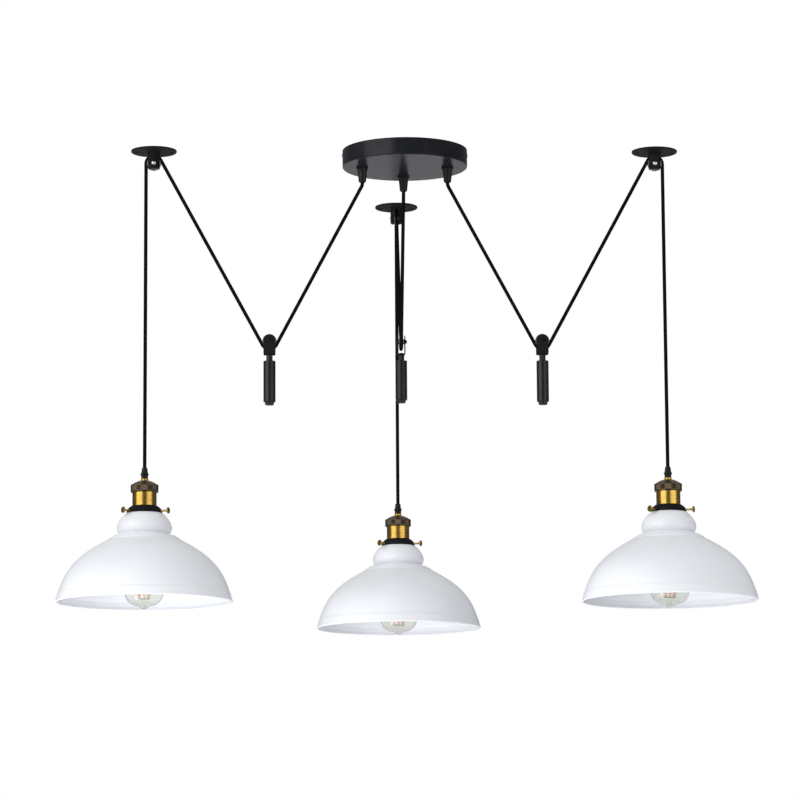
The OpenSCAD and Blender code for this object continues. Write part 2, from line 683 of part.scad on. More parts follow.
// Spun sheet: rolled rim, bell, two steps, crown and the neck in the holder
module shade() color("#eeeff2") {
    ledge = [waist_r, waist_z] + waist_edge;
    rotate_extrude() {
        polygon(concat(
            line_of(bell, 0, 20, 0.02), [ledge],
            line_of(crown, 0, 14), [[crown_r, shade_h], [shade_neck_r, shade_h]],
            [[shade_neck_r, shade_h + shade_neck_h],
             [shade_neck_r - shade_t, shade_h + shade_neck_h],
             [shade_neck_r - shade_t, shade_h - shade_t]],
            reversed(line_of(crown, shade_t, 14)),
            [[waist_r - shade_t, waist_z - 0.4 * shade_t], ledge - [0.5 * shade_t, shade_t]],
            reversed(line_of(bell, shade_t, 20, 0.02))));
        translate([shade_r - rim_bead, rim_bead]) circle(r = rim_bead);
        for (f = step_at) translate(bell[3] + f * (ledge - bell[3])) circle(r = step_bead);
        translate([cubic(bell, line_t).x - line_sink, line_z]) circle(r = line_r);
    }
}

// Clear glass with a drawn tip, open at its neck
function glass(d) = concat(
    quad([0, -bulb_tip + d], [6.5 - 0.3 * d, -bulb_tip + d], [9.6 - 0.6 * d, -bulb_tip + 4.6 + d], 6),
    quad([16.5 - 0.3 * d, -bulb_tip + 5.9 + d], [bulb_r - 1.5 - d, -bulb_tip + 9 + d],
        [bulb_r - d, -bulb_tip + 31], 10),
    quad([bulb_r - d, -bulb_tip + 36], [bulb_r - 1 - d, 64], [18 - d, shell_low - 22], 10),
    [[14.2 - d, shell_low - 8], [base_r - 0.4 - d, shell_low - 1]]);

module bulb_glass() color("#dfe3dc", 0.4) turned(concat(glass(0), reversed(glass(glass_t))));

// Screw base with rounded thread rings, an insulator cone and the end contact
module bulb_base() color("#c8b98a") {
    low = shell_low - 1 + fit_gap;
    turned(concat(
        [[base_r - 2.4, low], [base_r - 0.4, low], [base_r - 0.4, low + 4]],
        [for (i = [0 : 4]) each [
            [base_r - 0.7, low + 4 + thread_pitch * i + 0.3],
            [base_r, low + 4 + thread_pitch * (i + 0.5)],
            [base_r - 0.7, low + 4 + thread_pitch * (i + 1) - 0.3]]],
        [[base_r - 3, low + 5 + 5 * thread_pitch], [5, contact_z - 2],
         [4.2, contact_z - 0.7], [0, contact_z - move_gap], [0, contact_z - 4],
         [base_r - 4, low + 3 + 5 * thread_pitch], [base_r - 2.4, low + 5]]));
}

// Stem, two spiders and a ring of upright strands, held in the bulb's neck
module bulb_filament() color("#b06a3a") {
    cage_low = -bulb_tip + cage_lift;
    cage_top = cage_low + cage_h;
    turned(concat(
        [[0, cage_low - over], [rod_r, cage_low - over], [rod_r, cage_top - 4 * over],
         [stem_in_r, cage_top + 6 * over], [stem_in_r, shell_low - flare_h]],
        [[flare_r, shell_low - 3 * over], [flare_r, shell_low + 2 * over],
         [0, shell_low + 2 * over]]));
    for (i = [0 : strands - 1]) rotate([0, 0, 360 * i / strands]) {
        translate([cage_r, 0, cage_low - strand_r]) cylinder(r = strand_r, h = cage_h + 2 * strand_r);
        for (z = [cage_low, cage_top]) translate([0, 0, z]) rotate([0, 90, 0])
            cylinder(r = spider_r, h = cage_r);
    }
}

canopy_cover();
canopy_bracket();
cover_screws();
terminal_block();
canopy_grips();
grip_nuts();
ceiling_plates();
pulley_housings();
pulley_pins();
flex(LEFT);  // flex_left
at_pulley(LEFT) ceiling_wheel();  // ceiling_wheel_left
at_weight(LEFT) weight_yoke();  // weight_yoke_left
at_weight(LEFT) weight_axle();  // weight_axle_left
at_weight(LEFT) weight_wheel();  // weight_wheel_left
at_weight(LEFT) weight_bar();  // weight_left
at_lamp(LEFT) lamp_grip();  // lamp_grip_left
at_lamp(LEFT) socket_cap();  // socket_cap_left
at_lamp(LEFT) socket_collar();  // socket_collar_left
at_lamp(LEFT) socket_shell();  // socket_shell_left
at_lamp(LEFT) lamp_insert();  // lamp_insert_left
at_lamp(LEFT) shade_holder();  // shade_holder_left
at_lamp(LEFT) holder_screws();  // holder_screws_left
at_lamp(LEFT) shade();  // shade_left
at_lamp(LEFT) bulb_glass();  // bulb_glass_left
at_lamp(LEFT) bulb_base();  // bulb_base_left
at_lamp(LEFT) bulb_filament();  // bulb_filament_left
flex(MIDDLE);  // flex_middle
at_pulley(MIDDLE) ceiling_wheel();  // ceiling_wheel_middle
at_weight(MIDDLE) weight_yoke();  // weight_yoke_middle
at_weight(MIDDLE) weight_axle();  // weight_axle_middle
at_weight(MIDDLE) weight_wheel();  // weight_wheel_middle
at_weight(MIDDLE) weight_bar();  // weight_middle
at_lamp(MIDDLE) lamp_grip();  // lamp_grip_middle
at_lamp(MIDDLE) socket_cap();  // socket_cap_middle
at_lamp(MIDDLE) socket_collar();  // socket_collar_middle
at_lamp(MIDDLE) socket_shell();  // socket_shell_middle
at_lamp(MIDDLE) lamp_insert();  // lamp_insert_middle
at_lamp(MIDDLE) shade_holder();  // shade_holder_middle
at_lamp(MIDDLE) holder_screws();  // holder_screws_middle
at_lamp(MIDDLE) shade();  // shade_middle
at_lamp(MIDDLE) bulb_glass();  // bulb_glass_middle
at_lamp(MIDDLE) bulb_base();  // bulb_base_middle
at_lamp(MIDDLE) bulb_filament();  // bulb_filament_middle
flex(RIGHT);  // flex_right
at_pulley(RIGHT) ceiling_wheel();  // ceiling_wheel_right
at_weight(RIGHT) weight_yoke();  // weight_yoke_right
at_weight(RIGHT) weight_axle();  // weight_axle_right
at_weight(RIGHT) weight_wheel();  // weight_wheel_right
at_weight(RIGHT) weight_bar();  // weight_right
at_lamp(RIGHT) lamp_grip();  // lamp_grip_right
at_lamp(RIGHT) socket_cap();  // socket_cap_right
at_lamp(RIGHT) socket_collar();  // socket_collar_right
at_lamp(RIGHT) socket_shell();  // socket_shell_right
at_lamp(RIGHT) lamp_insert();  // lamp_insert_right
at_lamp(RIGHT) shade_holder();  // shade_holder_right
at_lamp(RIGHT) holder_screws();  // holder_screws_right
at_lamp(RIGHT) shade();  // shade_right
at_lamp(RIGHT) bulb_glass();  // bulb_glass_right
at_lamp(RIGHT) bulb_base();  // bulb_base_right
at_lamp(RIGHT) bulb_filament();  // bulb_filament_right
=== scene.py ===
"""Rise and fall pendant: finishes the pieces of the lamp around its fixed frame.

Everything is in metres in the frame's own axes. The origin is the centre of the canopy
in the ceiling plane, and +Z is up, so the whole lamp hangs below zero.
"""

import math

import bmesh
import bpy
from bpy.props import FloatProperty, FloatVectorProperty, IntProperty, PointerProperty
from mathutils import Matrix, Vector


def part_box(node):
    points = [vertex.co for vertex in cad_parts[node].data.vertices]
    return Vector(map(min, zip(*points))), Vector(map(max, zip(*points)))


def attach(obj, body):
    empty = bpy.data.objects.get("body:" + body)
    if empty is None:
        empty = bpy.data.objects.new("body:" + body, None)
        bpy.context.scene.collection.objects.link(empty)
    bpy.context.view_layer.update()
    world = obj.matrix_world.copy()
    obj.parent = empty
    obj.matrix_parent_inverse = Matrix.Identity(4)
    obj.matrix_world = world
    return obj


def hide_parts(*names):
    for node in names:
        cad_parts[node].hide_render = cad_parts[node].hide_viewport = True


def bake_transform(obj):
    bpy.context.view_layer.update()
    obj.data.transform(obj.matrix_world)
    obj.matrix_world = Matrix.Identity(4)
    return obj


bl_info = {
    "name": "Rise and fall pendant",
    "version": (1, 0, 0),
    "blender": (4, 5, 0),
    "location": "View3D > Sidebar > Pendant",
    "description": "Builds a pendant of three bell lamps on counterweighted cords",
    "category": "Object",
}

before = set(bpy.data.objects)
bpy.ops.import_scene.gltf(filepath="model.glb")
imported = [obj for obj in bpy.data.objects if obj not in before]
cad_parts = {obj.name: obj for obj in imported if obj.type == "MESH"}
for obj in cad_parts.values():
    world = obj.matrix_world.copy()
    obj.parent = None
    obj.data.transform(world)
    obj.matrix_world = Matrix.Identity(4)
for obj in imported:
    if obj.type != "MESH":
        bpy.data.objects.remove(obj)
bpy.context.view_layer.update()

LAMPS = ("left", "middle", "right")
OUTWARD = {"left": Vector((-1, 0, 0)), "middle": Vector((0, 1, 0)), "right": Vector((1, 0, 0))}
UP = Vector((0, 0, 1))
FULL_TURN = 2 * math.pi

MERGE = 2e-6  # Points nearer than this are one point
FIT = 5e-5  # Clearance between pieces that stand still
FLAT = math.radians(0.4)  # Faces that meet at less than this are one face

IMAGE_WIDTH = 800  # Pixels
SENSOR_WIDTH = 36.0  # Millimetres
FLOOR_REACH = 40.0  # Metres from the floor's middle to its edge

# Name, place, width and height, and power in watts of each light; the last has no reflection
LIGHTS = (("key light", (-3.6, -2.8, 0.6), (4.8, 2.2), 132.0),
          ("fill light", (3.1, -2.9, -0.1), (4.2, 0.8), 42.0),
          ("low light", (-0.9, -0.6, -2.35), (1.8, 1.4), 48.0))
LIGHTS_AIM = Vector((0, 0.15, -0.4))

# The world's brightness by direction, from 0 straight down to 1 straight up
SKY = ((0.0, 1.05), (0.36, 1.05), (0.42, 1.4), (0.48, 1.4),
       (0.52, 0.14), (0.6, 0.08), (0.68, 0.56), (1.0, 0.74))
SKY_TINT = (0.96, 0.98, 1.0)


# ---- Sizes and colours that a user can change ----

def length(name, description, default):
    """A length in metres."""
    return FloatProperty(name=name, description=description, default=default,
                         min=0.0, unit="LENGTH", precision=4)


def angle(name, description, degrees):
    """An angle, given in degrees and kept in radians."""
    return FloatProperty(name=name, description=description, default=math.radians(degrees),
                         subtype="ANGLE", unit="ROTATION")


def colour(name, description, default):
    """A colour without alpha, in linear values."""
    return FloatVectorProperty(name=name, description=description, default=default,
                               size=3, min=0.0, max=1.0, subtype="COLOR")


class PendantSizes(bpy.types.PropertyGroup):
    """Sizes of the finished pieces that the frame's boxes don't give."""

    cord_radius: length("Cord radius", "Radius of the textile cord", 0.003)
    bend_radius: length("Bend radius", "Radius of the cord's centre line round each wheel", 0.013)
    outlet_reach: length("Outlet reach", "Distance of the canopy's cord outlets from its centre",
                         0.071)
    weave_pitch: length("Weave pitch", "Length of one crossing of the cord's braid", 0.0026)
    weave_strands: IntProperty(name="Weave strands", description="Crossings round the cord",
                               default=10, min=4, max=32)
    leg_parts: IntProperty(name="Leg parts",
                           description="Parts of a slanting leg of cord, which stretch in turn",
                           default=6, min=1, max=12)
    edge_width: length("Edge width", "Width of the broken edges of turned and pressed parts",
                       0.00025)
    sheet: length("Sheet", "Sheet thickness of the shades", 0.001)
    rim_bead: length("Rim bead", "Radius of the rolled edge of a shade", 0.0016)
    bell_radius: length("Bell radius", "Radius where the bell ends, under its steps", 0.0575)
    bell_height: length("Bell height", "Height above the rim where the bell ends", 0.1038)
    waist_radius: length("Waist radius", "Radius of the waist under the crown", 0.0415)
    waist_height: length("Waist height", "Height of the waist above the rim", 0.113)
    crown_radius: length("Crown radius", "Radius of the crown's flat top", 0.0304)
    crown_height: length("Crown height", "Height of the crown's flat top above the rim", 0.147)
    step_rise: length("Step rise", "Height of the two rolled steps between bell and waist", 0.0015)
    line_height: length("Line height", "Height of the pressed line above the rim", 0.0128)
    glass: length("Glass", "Wall of a bulb's glass", 0.0008)
    strands: IntProperty(name="Strands", description="Upright strands in a bulb",
                         default=8, min=4, max=16)
    cage_radius: length("Cage radius", "Radius of the circle of strands", 0.0096)


class PendantColours(bpy.types.PropertyGroup):
    """Colours of the finishes."""

    enamel: colour("Enamel", "White enamel of the shades", (0.80, 0.81, 0.84))
    paint: colour("Paint", "Black satin paint of the metal parts", (0.0078, 0.0082, 0.0090))
    canopy: colour("Canopy", "Charcoal satin paint of the canopy", (0.0095, 0.010, 0.0125))
    plastic: colour("Plastic", "Black plastic of the cord grips", (0.0036, 0.0038, 0.0040))
    brass: colour("Brass", "Satin brass of sockets and thumb screws", (0.38, 0.238, 0.052))
    bronze: colour("Bronze", "Aged bronze of the socket's cap and collar", (0.075, 0.056, 0.038))
    cord: colour("Cord", "Black textile of the cords", (0.0042, 0.0042, 0.0045))
    steel: colour("Steel", "Plated steel of strap, wheels and pins", (0.55, 0.56, 0.58))
    copper: colour("Copper", "Copper of the bulb's strands", (0.75, 0.30, 0.10))
    ceramic: colour("Ceramic", "Glazed ceramic of the socket's insert", (0.80, 0.78, 0.72))


class PendantStage(bpy.types.PropertyGroup):
    """Camera, light and floor."""

    focal_pixels: FloatProperty(name="Focal length",
                                description="Focal length in pixels of an image 800 wide",
                                default=3500.0, min=100.0)
    eye: FloatVectorProperty(name="Eye", description="Place of the camera",
                             default=(-0.202, -5.710, -1.302),
                             size=3, subtype="TRANSLATION", unit="LENGTH")
    yaw: angle("Yaw", "Turn of the camera to the left", -1.92)
    pitch: angle("Pitch", "Upward tilt of the camera", 8.77)
    roll: angle("Roll", "Roll of the camera", -0.37)
    floor_depth: length("Floor depth", "Depth of the floor below the ceiling", 2.4)
    daylight: FloatProperty(name="Daylight", description="Strength of the even light",
                            default=1.0, min=0.0)


def sizes():
    """The pendant's sizes, from the scene."""
    return bpy.context.scene.pendant_sizes


def colours():
    """The pendant's colours, from the scene."""
    return bpy.context.scene.pendant_colours


# ---- Finishes ----

class Finish:
    """One procedural material. Uniform values are set on the shader's own sockets."""

    def __init__(self, name, **values):
        self.material = bpy.data.materials.new(name)
        self.material.use_nodes = True
        self.nodes = self.material.node_tree.nodes
        self.links = self.material.node_tree.links
        self.shader = self.nodes["Principled BSDF"]
        for socket, value in values.items():
            self.shader.inputs[socket.replace("_", " ")].default_value = value
        self.place = self.nodes.new("ShaderNodeTexCoord").outputs["Object"]

    def node(self, kind, inputs=None, **settings):
        """Adds a node; inputs holds values or output sockets by name or number."""
        made = self.nodes.new(kind)
        for key, value in settings.items():
            setattr(made, key, value)
        for key, value in (inputs or {}).items():
            if isinstance(value, bpy.types.NodeSocket):
                self.links.new(value, made.inputs[key])
            else:
                made.inputs[key].default_value = value
        return made

    def stretched(self, scale):
        """Object coordinates stretched by a scale on each axis."""
        made = self.node("ShaderNodeMapping", {"Vector": self.place, "Scale": scale})
        return made.outputs["Vector"]

    def noise(self, scale, detail, place=None):
        """Noise from 0 to 1."""
        made = self.node("ShaderNodeTexNoise", {
            "Vector": place or self.place, "Scale": scale, "Detail": detail, "Roughness": 0.55})
        return made.outputs["Fac"]

    def ramp(self, factor, low, high, start=0.3, end=0.7):
        """Turns a factor into a colour or grey between low and high."""
        made = self.node("ShaderNodeValToRGB", {"Fac": factor})
        for element, place, value in zip(made.color_ramp.elements, (start, end), (low, high)):
            element.position = place
            shade = tuple(value) if hasattr(value, "__len__") else (value,) * 3
            element.color = (*shade, 1.0)
        return made.outputs["Color"]

    def math(self, operation, *values):
        """One maths step."""
        made = self.node("ShaderNodeMath", dict(enumerate(values)), operation=operation)
        return made.outputs["Value"]

    def colour_by(self, factor, low, high, start=0.3, end=0.7):
        """Lets a factor vary the base colour."""
        self.links.new(self.ramp(factor, low, high, start, end), self.shader.inputs["Base Color"])

    def rough_by(self, factor, low, high):
        """Lets a factor vary the roughness."""
        self.links.new(self.ramp(factor, low, high), self.shader.inputs["Roughness"])

    def bump_by(self, height, strength, depth):
        """Raises the surface by a height, depth metres at most."""
        bump = self.node("ShaderNodeBump",
                         {"Height": height, "Strength": strength, "Distance": depth})
        self.links.new(bump.outputs["Normal"], self.shader.inputs["Normal"])


def tinted(base, share):
    """A colour made lighter or darker by a share."""
    return tuple(min(1.0, max(0.0, part * share)) for part in base)


def white_enamel():
    """White sprayed enamel: soft gloss, faint orange peel and a trace of dust."""
    base = colours().enamel
    finish = Finish("white enamel", Coat_Weight=0.25, Coat_Roughness=0.22, Specular_IOR_Level=0.45)
    cloud = finish.noise(9.0, 4.0)
    finish.colour_by(cloud, tinted(base, 0.965), tinted(base, 1.02))
    finish.rough_by(finish.noise(60.0, 5.0), 0.34, 0.46)
    finish.bump_by(finish.noise(420.0, 2.0), 0.10, 0.00025)
    return finish.material


def satin_paint(name, base, low, high, grain, gloss):
    """Black sprayed metal with a fine grain and an uneven sheen between low and high roughness."""
    finish = Finish(name, Specular_IOR_Level=gloss)
    finish.colour_by(finish.noise(35.0, 6.0), tinted(base, 0.75), tinted(base, 1.5))
    finish.rough_by(finish.noise(160.0, 4.0), low, high)
    finish.bump_by(finish.noise(grain, 2.0), 0.03, 0.0002)
    return finish.material


def black_plastic():
    """Moulded plastic with a fine eroded texture."""
    base = colours().plastic
    finish = Finish("black plastic", Specular_IOR_Level=0.2)
    finish.colour_by(finish.noise(90.0, 4.0), tinted(base, 0.8), tinted(base, 1.4))
    finish.rough_by(finish.noise(300.0, 3.0), 0.36, 0.52)
    finish.bump_by(finish.noise(1800.0, 3.0), 0.1, 0.00015)
    return finish.material


def brushed_metal(name, base, low, high, across=(6.0, 6.0, 4200.0)):
    """Metal with soft tarnish and a fine grain, by default as lines round an upright axis."""
    finish = Finish(name, Metallic=1.0)
    lines = finish.noise(1.0, 3.0, finish.stretched(across))
    tarnish = finish.noise(70.0, 5.0)
    finish.colour_by(tarnish, tinted(base, 0.72), base, 0.25, 0.6)
    finish.rough_by(lines, low, high)
    finish.bump_by(lines, 0.02, 0.00008)
    return finish.material


def aged_bronze():
    """Dark bronze that turns to brass where the piece's attribute for it is high."""
    tint = colours()
    finish = Finish("aged bronze", Metallic=1.0)
    brass_share = finish.node("ShaderNodeAttribute", attribute_name="brass_share").outputs["Fac"]
    patches = finish.noise(240.0, 6.0)
    uneven = finish.math("MULTIPLY", finish.math("SUBTRACT", patches, 0.5), 0.14)
    share = finish.math("ADD", brass_share, uneven)
    finish.colour_by(share, tinted(tint.bronze, 0.9), tinted(tint.brass, 0.95), 0.15, 0.95)
    finish.rough_by(patches, 0.28, 0.38)
    finish.bump_by(finish.noise(900.0, 3.0), 0.08, 0.0001)
    return finish.material


def braided_cord():
    """Black braid: two sets of strands that cross, read from the cord's own length and turn."""
    size = sizes()
    base = colours().cord
    finish = Finish("braided cord", Specular_IOR_Level=0.0)
    place = finish.node("ShaderNodeUVMap", uv_map="weave").outputs["UV"]
    turn, run = finish.node("ShaderNodeSeparateXYZ", {"Vector": place}).outputs[:2]
    around = finish.math("MULTIPLY", turn, FULL_TURN * size.weave_strands / 2)
    along = finish.math("MULTIPLY", run, FULL_TURN / (2 * size.weave_pitch))
    rising = finish.math("COSINE", finish.math("ADD", around, along))
    falling = finish.math("COSINE", finish.math("SUBTRACT", around, along))
    height = finish.math("ABSOLUTE", finish.math("MULTIPLY", rising, falling))
    fuzz = finish.noise(2500.0, 4.0)
    relief_and_painted_shade = finish.math("ADD", height, finish.math("MULTIPLY", fuzz, 0.35))
    # The colour follows the braid's height: painted shade in the grooves between strands and a
    # painted highlight on the crossings, mixed with random fuzz.
    finish.colour_by(relief_and_painted_shade, tinted(base, 0.4), tinted(base, 2.2), 0.1, 1.0)
    finish.rough_by(fuzz, 0.75, 0.95)
    finish.bump_by(relief_and_painted_shade, 0.45, 0.0003)
    return finish.material


def clear_glass():
    """Thin blown glass with faint waves."""
    finish = Finish("clear glass", Transmission_Weight=1.0, IOR=1.45,
                    Base_Color=(0.90, 0.905, 0.86, 1.0))
    finish.rough_by(finish.noise(40.0, 3.0), 0.01, 0.05)
    finish.bump_by(finish.noise(28.0, 2.0), 0.06, 0.0006)
    return finish.material


def glazed_ceramic():
    """Off-white glazed ceramic."""
    base = colours().ceramic
    finish = Finish("glazed ceramic", Coat_Weight=0.6, Coat_Roughness=0.1)
    finish.colour_by(finish.noise(120.0, 5.0), tinted(base, 0.93), base)
    finish.rough_by(finish.noise(200.0, 4.0), 0.28, 0.4)
    finish.bump_by(finish.noise(500.0, 2.0), 0.1, 0.0002)
    return finish.material


def carbon_copper():
    """Copper-coloured strands with a darker grain and a faint painted glow."""
    base = colours().copper
    # The emission is a painted glow that lifts the strands; the bulb sheds no light.
    finish = Finish("copper strand", Metallic=0.6,
                    Emission_Color=(1.0, 0.35, 0.08, 1.0), Emission_Strength=0.25)
    finish.colour_by(finish.noise(800.0, 3.0), tinted(base, 0.7), base)
    finish.rough_by(finish.noise(600.0, 3.0), 0.35, 0.5)
    return finish.material


EVEN_GRAIN = (400.0, 400.0, 400.0)
MAKERS = {
    "white_enamel": white_enamel,
    "canopy_paint": lambda: satin_paint("canopy paint", colours().canopy, 0.2, 0.26, 1500.0, 0.09),
    "black_metal": lambda: satin_paint("black paint", colours().paint, 0.58, 0.7, 1700.0, 0.06),
    "weight_paint": lambda: satin_paint("weight paint", colours().paint, 0.24, 0.32, 1900.0, 0.2),
    "black_plastic": black_plastic,
    "brass": lambda: brushed_metal("satin brass", colours().brass, 0.24, 0.3),
    "bronze": aged_bronze,
    "cord": braided_cord,
    "zinc": lambda: brushed_metal("zinc plate", colours().steel, 0.3, 0.45, EVEN_GRAIN),
    "bright_steel": lambda: brushed_metal("bright steel", tinted(colours().steel, 1.3), 0.14, 0.28,
                                          (300.0, 300.0, 300.0)),
    # The plated steel drawn at 0.45 of its brightness, for the wheels in their slots and yokes and
    # for the bulbs' spider wires.
    "dark_steel": lambda: brushed_metal("dark steel", tinted(colours().steel, 0.45), 0.3, 0.45,
                                        EVEN_GRAIN),
    "bulb_cap": lambda: brushed_metal("bulb cap", (0.62, 0.58, 0.50), 0.25, 0.4),
    "glass": clear_glass,
    "ceramic": glazed_ceramic,
    "block": glazed_ceramic,
    "filament": carbon_copper,
}
_made = {}


def finish_of(slot):
    """The material of one of the record's slots, made once."""
    if slot not in _made:
        _made[slot] = MAKERS[slot]()
    return _made[slot]


# ---- Shaping ----

def rounded(points, steps=4):
    """An outline whose corners that give a radius as third number are rounded."""
    line = []
    for i, point in enumerate(points):
        here = Vector(point[:2])
        radius = point[2] if len(point) > 2 else 0.0
        if not radius or i in (0, len(points) - 1):
            line.append(here)
            continue
        before, after = Vector(points[i - 1][:2]) - here, Vector(points[i + 1][:2]) - here
        reach = min(radius, 0.45 * before.length, 0.45 * after.length)
        first, last = here + before.normalized() * reach, here + after.normalized() * reach
        for k in range(steps + 1):
            t = k / steps
            line.append(first.lerp(here, t).lerp(here.lerp(last, t), t))
    return line


def cubic(a, b, c, d, steps, start=0.0):
    """Points of a cubic curve."""
    a, b, c, d = (Vector(p) for p in (a, b, c, d))
    found = []
    for k in range(steps + 1):
        t = start + (1 - start) * k / steps
        s = 1 - t
        found.append(a * s ** 3 + b * 3 * t * s ** 2 + c * 3 * t * t * s + d * t ** 3)
    return found


def inset(line, distance):
    """A line moved to its right hand side by a distance."""
    moved = []
    for i, point in enumerate(line):
        way = (line[min(i + 1, len(line) - 1)] - line[max(i - 1, 0)]).normalized()
        moved.append(point + Vector((way.y, -way.x)) * distance)
    return moved


def spun(outline, centre, steps):
    """A bmesh spun round an upright axis at centre, from points of radius and height.

    An outline that doesn't begin and end on the axis is closed to a ring.
    """
    bm = bmesh.new()
    verts = [bm.verts.new((p[0], 0.0, p[1])) for p in outline]
    pairs = list(zip(verts, verts[1:]))
    on_axis = outline[0][0] < MERGE and outline[-1][0] < MERGE
    if not on_axis:
        pairs.append((verts[-1], verts[0]))
    edges = [bm.edges.new(pair) for pair in pairs]
    bmesh.ops.spin(bm, geom=verts + edges, cent=(0, 0, 0), axis=(0, 0, 1), dvec=(0, 0, 0),
                   angle=FULL_TURN, steps=steps, use_merge=True, use_duplicate=False)
    bmesh.ops.remove_doubles(bm, verts=bm.verts, dist=MERGE)
    bmesh.ops.recalc_face_normals(bm, faces=bm.faces)
    bmesh.ops.translate(bm, verts=bm.verts, vec=centre)
    return bm


def break_edges(bm, width, sharper_than=32.0):
    """Bevels the edges that are sharper than an angle in degrees."""
    limit = math.radians(sharper_than)
    edges = [e for e in bm.edges if e.is_manifold and e.calc_face_angle() > limit]
    if edges and width:
        bmesh.ops.bevel(bm, geom=edges, offset=width, offset_type="OFFSET", segments=2, profile=0.5,
                        affect="EDGES", clamp_overlap=True, material=-1)


def machined(node, width):
    """A merged copy of a frame node with its sharp edges broken."""
    bm = bmesh.new()
    bm.from_mesh(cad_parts[node].data)
    bmesh.ops.remove_doubles(bm, verts=bm.verts, dist=MERGE)
    bmesh.ops.dissolve_limit(bm, angle_limit=FLAT, verts=bm.verts, edges=bm.edges)
    break_edges(bm, width)
    return bm


def piece(name, bm, slot, body, stands_for=(), sharp=40.0):
    """Makes a bmesh a finished piece: shading, material, body and the nodes it stands for."""
    limit = math.radians(sharp)
    for face in bm.faces:
        face.smooth = True
    for edge in bm.edges:
        edge.smooth = not edge.is_manifold or edge.calc_face_angle() < limit
    mesh = bpy.data.meshes.new(name)
    bm.to_mesh(mesh)
    bm.free()
    obj = bpy.data.objects.new(name, mesh)
    bpy.context.scene.collection.objects.link(obj)
    mesh.materials.append(finish_of(slot))
    level = obj.modifiers.new("even shading", "WEIGHTED_NORMAL")
    level.keep_sharp = True
    if body:
        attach(obj, body)
    if stands_for:
        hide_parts(*stands_for)
    return obj


def dressed(name, node, slot, body, width):
    """Makes a frame node a finished piece with its sharp edges broken."""
    return piece(name, machined(node, width), slot, body, [node])


def middle_of(node):
    """The middle of a frame node's box."""
    low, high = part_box(node)
    return (low + high) / 2


def axis_of(lamp):
    """A lamp's upright axis, as the point in the plane of its shade's rim."""
    place = middle_of("shade_" + lamp)
    place.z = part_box("shade_" + lamp)[0].z
    return place


def heights(node, lamp):
    """Lowest and highest point of a lamp's node above the rim of its shade."""
    low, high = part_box(f"{node}_{lamp}")
    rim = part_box("shade_" + lamp)[0].z
    return low.z - rim, high.z - rim


def radius_of(node):
    """Largest radius of a round upright frame node."""
    low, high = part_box(node)
    return (high.y - low.y) / 2


# ---- Canopy and pulleys ----

class BuildCanopy(bpy.types.Operator):
    """Canopy with its strap, terminal block, screws and cord grips"""

    bl_idname = "pendant.build_canopy"
    bl_label = "Canopy"

    def execute(self, context):
        width = sizes().edge_width
        dressed("canopy_shell", "canopy_cover", "canopy_paint", "root", width)
        dressed("canopy_strap", "canopy_bracket", "zinc", "root", width)
        piece("canopy_side_screws", self.low_heads(width), "black_metal", "root", ["cover_screws"])
        dressed("canopy_block", "terminal_block", "block", "root", width)
        dressed("grip_lock_nuts", "grip_nuts", "black_plastic", "root", width)
        for lamp in LAMPS:
            self.grip(lamp)
        return {"FINISHED"}

    def low_heads(self, width):
        """The side screws with heads that lie low on the canopy's wall."""
        share = 0.4
        bm = machined("cover_screws", width)
        wall = radius_of("canopy_cover")
        for vert in bm.verts:
            past = abs(vert.co.x) - wall
            if past > 0:
                vert.co.x = math.copysign(wall + past * share, vert.co.x)
        return bm

    def grip(self, lamp):
        """A tapered grip whose flange lies on the canopy's underside."""
        size = sizes()
        low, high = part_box("canopy_grips")
        canopy_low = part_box("canopy_cover")[0].z
        mouth = low.z - canopy_low
        top = high.z - canopy_low
        bore = size.cord_radius + FIT
        stem, flange, flange_low = 0.00495, 0.0100, -0.0033
        outline = rounded([
            (bore, mouth), (0.0050, mouth, 0.0006), (0.0062, mouth + 0.0018, 0.0008),
            (0.0081, -0.0040, 0.0003), (0.0083, flange_low, 0.0002), (0.0097, flange_low, 0.0006),
            (flange, -0.0025, 0.0006), (flange, -FIT, 0.0003), (stem, -FIT),
            (stem, top, 0.0005), (bore, top)])
        place = OUTWARD[lamp] * size.outlet_reach + UP * canopy_low
        piece("canopy_cord_grip_" + lamp, spun(outline, place, 64), "black_plastic", "root",
              ["canopy_grips"])


class BuildPulleys(bpy.types.Operator):
    """Ceiling plates, slotted housings, pins and grooved wheels"""

    bl_idname = "pendant.build_pulleys"
    bl_label = "Ceiling pulleys"

    def execute(self, context):
        width = sizes().edge_width
        dressed("pulley_plates", "ceiling_plates", "black_metal", "root", width)
        dressed("slotted_housings", "pulley_housings", "black_metal", "root", width)
        dressed("domed_pins", "pulley_pins", "bright_steel", "root", 0.0)
        for lamp in LAMPS:
            node = "ceiling_wheel_" + lamp
            dressed("grooved_" + node, node, "dark_steel", "pulley_wheel_" + lamp, width)
        return {"FINISHED"}


